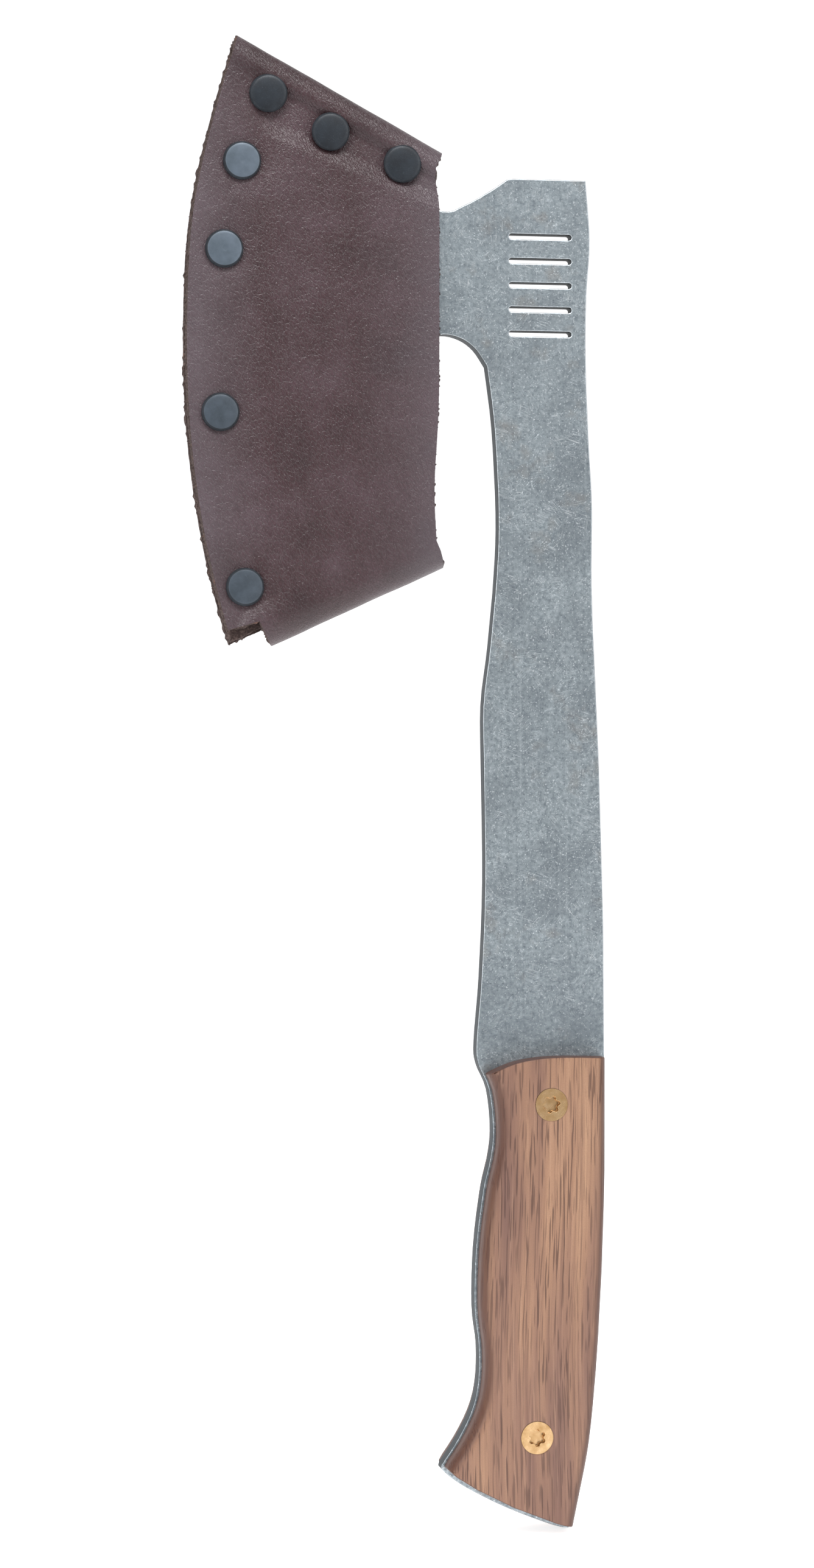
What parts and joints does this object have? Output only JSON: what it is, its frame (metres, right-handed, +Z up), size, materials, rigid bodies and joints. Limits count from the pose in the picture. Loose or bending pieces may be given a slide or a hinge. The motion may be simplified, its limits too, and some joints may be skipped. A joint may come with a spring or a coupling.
{
  "type": "hatchet",
  "caption": "One-piece steel hatchet with riveted wood grip scales and a folded leather bit sheath that opens at a snap flap.",
  "frame": {"origin": "middle of the grip, halfway between the two handle screws, in the middle of the plate's thickness", "axes": "+Z runs up the handle to the head, +Y is the back of the plate, the cutting edge points to -X; the front with the rivet caps faces -Y"},
  "size_m": [0.139, 0.026, 0.4896],
  "materials": {
    "stonewashed_steel": "stonewashed, blue-grey with fine random scratches",
    "walnut": "oiled open-pored walnut",
    "brass": "satin",
    "leather": "dark brown pebbled grain",
    "raw_leather": "raw cut edge",
    "black_metal": "matt black"
  },
  "bodies": {
    "axe": {"steel_blank": "stonewashed_steel", "front_scale": "walnut", "back_scale": "walnut", "screw_1": "brass", "screw_2": "brass", "barrel_nut_1": "brass", "barrel_nut_2": "brass"},
    "sheath": {"front_panel": "leather", "back_panel": "leather", "top_fold": "leather", "edge_welt": "raw_leather", "rivet_cap_1": "black_metal", "rivet_cap_2": "black_metal", "rivet_cap_3": "black_metal", "rivet_cap_4": "black_metal", "rivet_cap_5": "black_metal", "rivet_cap_6": "black_metal", "rivet_cap_7": "black_metal", "rivet_post_1": "black_metal", "rivet_post_2": "black_metal", "rivet_post_3": "black_metal", "rivet_post_4": "black_metal", "rivet_post_5": "black_metal", "rivet_post_6": "black_metal", "rivet_post_7": "black_metal", "snap_stud_1": "black_metal", "snap_stud_2": "black_metal", "snap_eyelet_1": "black_metal", "snap_eyelet_2": "black_metal"},
    "flap": {"flap_fold": "leather", "closing_flap": "leather", "snap_socket_1": "black_metal", "snap_socket_2": "black_metal", "snap_cap_1": "black_metal", "snap_cap_2": "black_metal"}
  },
  "joints": [
    {"name": "sheath_slide", "type": "slide", "parent": "axe", "child": "sheath", "axis": [-0.8862, 0, 0.4633], "range_m": [0, 0.085], "deforming": ["flap_fold"]},
    {"name": "flap_hinge", "type": "hinge", "parent": "sheath", "child": "flap", "pos_m": [-0.0617, 0.00285, 0.22144], "axis": [-0.9092, 0, -0.4163], "range_deg": [0, 165]}
  ]
}
